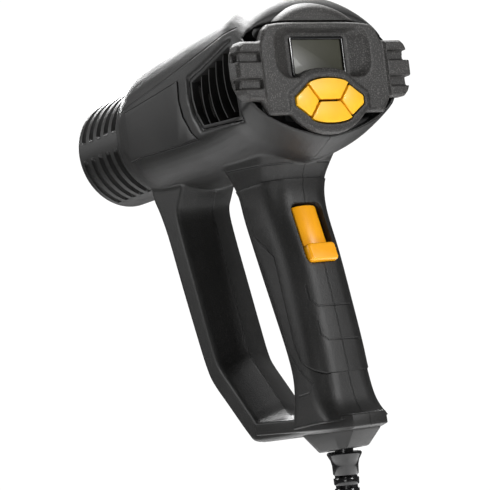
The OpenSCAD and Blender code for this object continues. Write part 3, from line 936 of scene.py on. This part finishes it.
class GUN_OT_panel(PieceOperator):
    """Rear panel with its display pocket, key field, rest lugs and hump"""

    bl_idname = "gun.panel"
    bl_label = "Rear panel"

    def lug(self, side):
        def slot_box(u0, u1, v, half):
            corners = ((u0, v - half), (u1, v - half), (u1, v + half), (u0, v + half))
            return [(side * u, w) for u, w in corners]

        outline = [(side * u, v) for u, v in LUG]
        lug = panel_loft("lug", [
            (-9, inset(outline, 1.6)), (-7, outline), (-0.6, outline), (1.4, inset(outline, 1.6)),
        ])
        for v in (11.4, -3.7):
            groove = panel_loft("groove", [(-6, slot_box(59.4, 72, v, 2.6)), (6, slot_box(59.4, 72, v, 3.3))])
            combine(lug, groove, "DIFFERENCE")
            top = panel_loft("groove", [(-1.6, slot_box(47, 70, v, 2.6)), (4, slot_box(45, 70, v, 3.6))])
            combine(lug, top, "DIFFERENCE")
        return lug

    def build(self, scene, paints):
        outline = mirrored(PANEL)
        plate = panel_loft("plate", [
            (-9, inset(outline, 3.0)), (-5.2, inset(outline, 0.4)), (-4, outline), (-1.6, outline),
            (-0.2, inset(outline, 1.5)), (0, inset(outline, 3.2)),
        ])

        def pocket_outline(half, low, high, r):
            return [(u, (high + low) / 2 + v) for u, v in round_box(half, (high - low) / 2, r, 8)]

        pocket = panel_loft("pocket", [
            (1.2, pocket_outline(36.4, -1.8, 29.4, 10.5)), (0, pocket_outline(34.8, -0.9, 28.2, 9.5)),
            (-1.6, pocket_outline(32.2, -0.3, 27.4, 9)), (-6.2, pocket_outline(22.4, 0.3, 25.6, 3.5)),
        ])
        combine(plate, pocket, "DIFFERENCE")
        window = [(u, WINDOW_V + v) for u, v in round_box(18.6, 10.6, 1.2)]
        combine(plate, panel_loft("window", [(d, window) for d in (-12, -5)]), "DIFFERENCE")
        rises = ((-4, 6.5), (-0.5, 6.0), (0.9, 3.0), (1.0, 1.4))
        boss = panel_loft("boss", [(d, [(u, KEY_V + v) for u, v in oval(g)]) for d, g in rises])
        parts = [plate, self.lug(-1), self.lug(1)]
        key_space = panel_loft("key_space", [(d, [(u, KEY_V + v) for u, v in oval(0.5)]) for d in (-7, 3)])
        combine(boss, key_space, "DIFFERENCE")
        key_space = panel_loft("key_space", [(d, [(u, KEY_V + v) for u, v in oval(0.5)]) for d in (-7, 3)])
        combine(parts[0], key_space, "DIFFERENCE")
        trim_by = panel_loft("trim_by", [(-10, inset(outline, 0.8)), (4, inset(outline, 0.8))])
        combine(boss, trim_by, "INTERSECT")
        panel = joined("rear_panel", parts + [boss])
        moulded(panel, 0.00055, 5)
        dress(panel, paints["trim"], "housing", "trim", "rear_bezel", "rest_pads")

        hump = []
        for x, r in ((33.5, 49.2), (38, 47.6), (41.5, 45.8), (43.6, 44.2), (44.8, 42.2), (45.1, 39)):
            foot = 32.6 + (x - 40) * 0.02
            half = math.acos(max(min((foot + 2.6) / r, 1), -1))
            turns = [half * (1 - k / 12) for k in range(25)]
            hump.append([(x, r * 1.03 * math.sin(a), AXIS - 2.6 + r * math.cos(a)) for a in turns])
        hump = loft("hump", hump)
        bevelled(hump, 0.0008, 3, 40)
        dress(hump, paints["trim"], "housing", "trim", "rear_cap")

        back = quarter(50, -12, -33, 1.5)[::-1] + quarter(50, 21, 33.4, 2.6)
        plate = loft("rear_plate", [[(x, y, AXIS + z) for y, z in mirrored(back)] for x in (31.8, 33.4)])
        dress(plate, paints["black"], "housing", "trim")
        posts = []
        for u, v in ((-41, 26), (41, 26), (-42, -16.5), (42, -16.5)):
            place = lambda a, b, h, u=u, v=v: (h, u + a, AXIS + v + b)
            posts.append(lathe("post", [(2.9, 33), (2.9, 40.6)], place, 24))
        posts = joined("panel_posts", posts)
        dress(shade(posts, 40), paints["plain"], "housing", "trim")


class GUN_OT_display(PieceOperator):
    """Display window and its frame"""

    bl_idname = "gun.display"
    bl_label = "Display"

    def build(self, scene, paints):
        def window(half_u, half_v, r):
            return [(u, WINDOW_V + v) for u, v in round_box(half_u, half_v, r)]

        rim = panel_loft("display_rim", [(d, window(19.6, 11.6, 1.4)) for d in (-8, -5.2)])
        hole = panel_loft("hole", [(-9, window(17.3, 9.3, 0.8)), (-4, window(18.3, 10.3, 1.0))])
        combine(rim, hole, "DIFFERENCE")
        dress(bevelled(rim, 0.0003, 2), paints["gloss"], "housing", "trim", "display_frame")
        glass = panel_loft("display_window", [(d, window(18, 10, 0.8)) for d in (-7.6, -6.6)])
        dress(bevelled(glass, 0.0002, 2), paints["glass"], "housing", "glass", "display_glass")


class GUN_OT_keys(PieceOperator):
    """Four keys of the key field"""

    bl_idname = "gun.keys"
    bl_label = "Keys"

    def build(self, scene, paints):
        split = 7.3
        areas = {
            "top": [(-split, 0.35), (split, 0.35), (22.3, 19.5), (-22.3, 19.5)],
            "bottom": [(split, -0.35), (-split, -0.35), (-22.3, -19.5), (22.3, -19.5)],
            "right": [(split + 0.4, 0), (22.7, -19.5), (40, -19.5), (40, 19.5), (22.7, 19.5)],
            "left": [(-split - 0.4, 0), (-22.7, 19.5), (-40, 19.5), (-40, -19.5), (-22.7, -19.5)],
        }
        for name, area in areas.items():
            face = [(u, KEY_V + v) for u, v in oval(-0.25)]
            key = panel_loft("key_face_" + name, [(d, face) for d in (-4.4, 1.3)])
            wedge = panel_loft("wedge", [(d, [(u, KEY_V + v) for u, v in inset(area, 0.4)]) for d in (-6, 4)])
            combine(key, wedge, "INTERSECT")
            bevelled(key, 0.00055, 3, 25)
            dress(key, paints["keys"], name + "_key", "keys", "key_" + name)


class GUN_OT_switch(PieceOperator):
    """Slide switch on the back of the grip"""

    bl_idname = "gun.switch"
    bl_label = "Switch"

    def build(self, scene, paints):
        across = (
            (-4.4, -8.6), (-4.4, 8.6), (-1.6, 8.6), (0.2, 6.2), (1.1, 3), (1.3, 0), (1.1, -3), (0.2, -6.2),
            (-1.6, -8.6),
        )
        strip = loft("strip", [[(d, y, z) for d, y in across] for z in (-16, 17.2)])
        bevelled(strip, 0.0006, 3, 40)
        bar = loft("bar", [
            [(d, y, z) for y, z in round_box(hy, hz, 1.8)]
            for d, hy, hz in ((-3.5, 10, 5.6), (3.2, 9.8, 5.4), (4.3, 8.9, 4.7))
        ])
        bar.data.transform(Matrix.Translation((0, 0, -0.0128)))
        bevelled(bar, 0.0005, 3, 25)
        slider = joined("switch_thumb", [strip, bar])
        slider.data.transform(SWITCH_TURN)
        shade(slider, 60)
        dress(slider, paints["switch"], "switch", "switch", "switch_slider")
        nodes["switch_plate"].data.materials.clear()
        nodes["switch_plate"].data.materials.append(paints["black"])


class GUN_OT_hot_end(PieceOperator):
    """Heat guard ring and what is inside it"""

    bl_idname = "gun.hot_end"
    bl_label = "Hot end"

    def build(self, scene, paints):
        steps, length = 216, 48.4

        def smooth(t):
            t = min(max(t, 0), 1)
            return t * t * (3 - 2 * t)

        def depth(x, a):
            """Groove depth at x along the ring and angle a up from the side."""
            a = math.degrees(math.asin(math.sin(math.radians(a))))
            window = max(smooth((a - 11) / 2.4), smooth((-7 - a) / 2.4) * smooth((a + 68) / 2.4))
            best = 0
            for i in range(5):
                c = 7.2 + i * 8.6
                best = max(best, smooth((2.45 - abs(x - c)) / 0.7))
            return 2.6 * best * window

        angles = [2 * math.pi * k / steps for k in range(steps)]
        fine = [2.6 + 0.45 * i for i in range(100) if 2.6 + 0.45 * i < length - 1]
        outer = [0, 0.35, 1.0, 1.8] + fine + [length - 0.6, length]

        def circle(x, radii):
            return [(RING_FRONT + x, r * math.cos(a), AXIS + r * math.sin(a)) for r, a in zip(radii, angles)]

        rings = []
        for x in outer:
            r = 34 + 0.02 * x / 50 - (1.6 * (1 - min(x / 1.8, 1)) ** 2 if x < 1.8 else 0)
            r -= 0.5 * max(0, (x - length + 0.6) / 0.6)
            rings.append(circle(x, [r - depth(x, math.degrees(a)) for a in angles]))
        for x, r in ((length, 31), (4, 31), (3, 30.2), (0.6, 30), (0, 30.6)):
            rings.append(circle(x, [r] * steps))
        n = steps
        verts = [p for ring in rings for p in ring]
        count = len(rings)
        faces = [
            (i * n + k, i * n + (k + 1) % n, ((i + 1) % count) * n + (k + 1) % n, ((i + 1) % count) * n + k)
            for i in range(count)
            for k in range(n)
        ]
        ring = mesh_object("grooved_ring", verts, faces)
        shade(ring, 50)
        dress(ring, paints["plain"], "guard_ring", "housing", "heat_guard")
        for name, paint in (
            ("nozzle_tube", "steel"), ("nozzle_flange", "zinc"), ("mica_tube", "mica"),
            ("heater_core", "mica"), ("heating_coil", "element"), ("temperature_probe", "zinc"),
            ("fan_duct", "black"), ("fan", "plain"), ("motor", "zinc"), ("motor_shaft", "zinc"),
            ("motor_mount", "black"), ("power_board", "board"), ("board_parts", "black"),
            ("display_board", "black"), ("key_mat", "black"), ("switch_body", "black"),
            ("cable_clamp", "black"), ("clamp_screws", "zinc"), ("bezel_screws", "zinc"),
            ("shell_screws", "zinc"),
        ):
            nodes[name].data.materials.clear()
            nodes[name].data.materials.append(paints[paint])


class GUN_OT_foot(PieceOperator):
    """Boss under the foot and the slotted strain relief"""

    bl_idname = "gun.foot"
    bl_label = "Foot"

    def build(self, scene, paints):
        rim = [(32, -10.5), (32, 10.5), (20, 16), (-8, 16), (-15, 11), (-15, -11), (-8, -16), (20, -16)]
        low = [(21, -8), (21, 8), (17, 11), (2, 11), (-5, 8), (-5, -8), (2, -11), (17, -11)]
        boss = loft("foot_boss", [
            [(x, y, -67.6 - (x - 12) * 0.06) for x, y in rim],
            [(x, y, -69.6 - (x - 12) * 0.06) for x, y in inset(rim, 0.4)],
            [(x, y, -79.6) for x, y in low],
        ])
        bevelled(boss, 0.0008, 3, 20)
        dress(boss, paints["plain"], "housing", "housing", "foot_cap")

        lean = math.radians(7)

        def place(a, b, h):
            c, s = math.cos(lean), math.sin(lean)
            return (7.9 + a * c + h * s, b, -81 - a * s + h * c)

        sleeve = lathe(
            "relief_core", [(0, 6), (5.3, 6), (5.3, -0.1), (9.4, 0), (10.1, -0.7), (10.0, -1.6), (8.3, -4.6),
                       (7.6, -7.6), (7.4, -12.5),
                       (6.6, -13.4), (5.2, -14), (4.9, -57.6), (4.2, -58.4), (0, -58.4)], place, 48)
        rib = [(0, -14.6), (7.1, -14.6), (7.4, -15.1), (7.35, -18.2), (7.0, -18.7), (0, -18.7)]
        ribs = lathe("rib", rib, lambda a, b, h: (a, b, h), 40)
        row = copied(ribs, 7, (0, 0, -0.0062), paints["gloss"])
        bars = []
        for t in (0.0, math.pi / 2, math.pi, 1.5 * math.pi):
            c, s = math.cos(t), math.sin(t)
            corners = [(a * c - b * s, a * s + b * c) for a, b in ((2, -1.6), (7, -1.6), (7, 1.6), (2, 1.6))]
            bars.append(loft("bar", [[(x, y, h) for x, y in corners] for h in (-13, -57)]))
        bars = joined("bars", bars)
        extra = joined("relief_ribs", [row, bars])
        for v in extra.data.vertices:
            taper = 1 - 0.17 * min(max((-v.co.z - 0.0146) / 0.043, 0), 1)
            v.co = Vector(place(v.co.x * 1000 * taper, v.co.y * 1000 * taper, v.co.z * 1000)) * MM
        relief = joined("strain_sleeve", [sleeve, extra])
        shade(relief, 40)
        dress(relief, paints["gloss"], "housing", "flex", "strain_relief")


STEPS = (
    GUN_OT_stage, GUN_OT_cord, GUN_OT_housing, GUN_OT_sides, GUN_OT_panel, GUN_OT_display, GUN_OT_keys,
    GUN_OT_switch, GUN_OT_hot_end, GUN_OT_foot,
)


class GUN_PT_sidebar(bpy.types.Panel):
    """Sidebar panel that lists the steps"""

    bl_idname = "GUN_PT_sidebar"
    bl_label = "Hot air gun"
    bl_space_type = "VIEW_3D"
    bl_region_type = "UI"
    bl_category = "Hot air gun"

    def draw(self, context):
        for step in STEPS:
            self.layout.operator(step.bl_idname)
        for group in (context.scene.gun_housing, context.scene.gun_trim, context.scene.gun_cord):
            for name in group.__annotations__:
                self.layout.prop(group, name)


GROUPS = {"gun_housing": GunHousing, "gun_trim": GunTrim, "gun_cord": GunCord}


def register():
    for name, group in GROUPS.items():
        bpy.utils.register_class(group)
        setattr(bpy.types.Scene, name, bpy.props.PointerProperty(type=group))
    for cls in (*STEPS, GUN_PT_sidebar):
        bpy.utils.register_class(cls)


def unregister():
    for cls in reversed((*STEPS, GUN_PT_sidebar)):
        bpy.utils.unregister_class(cls)
    for name, group in GROUPS.items():
        delattr(bpy.types.Scene, name)
        bpy.utils.unregister_class(group)


def main():
    register()
    PieceOperator.paints.update(finishes(bpy.context.scene))
    for step in STEPS:
        group, name = step.bl_idname.split(".")
        getattr(getattr(bpy.ops, group), name)()


if __name__ == "__main__":
    main()
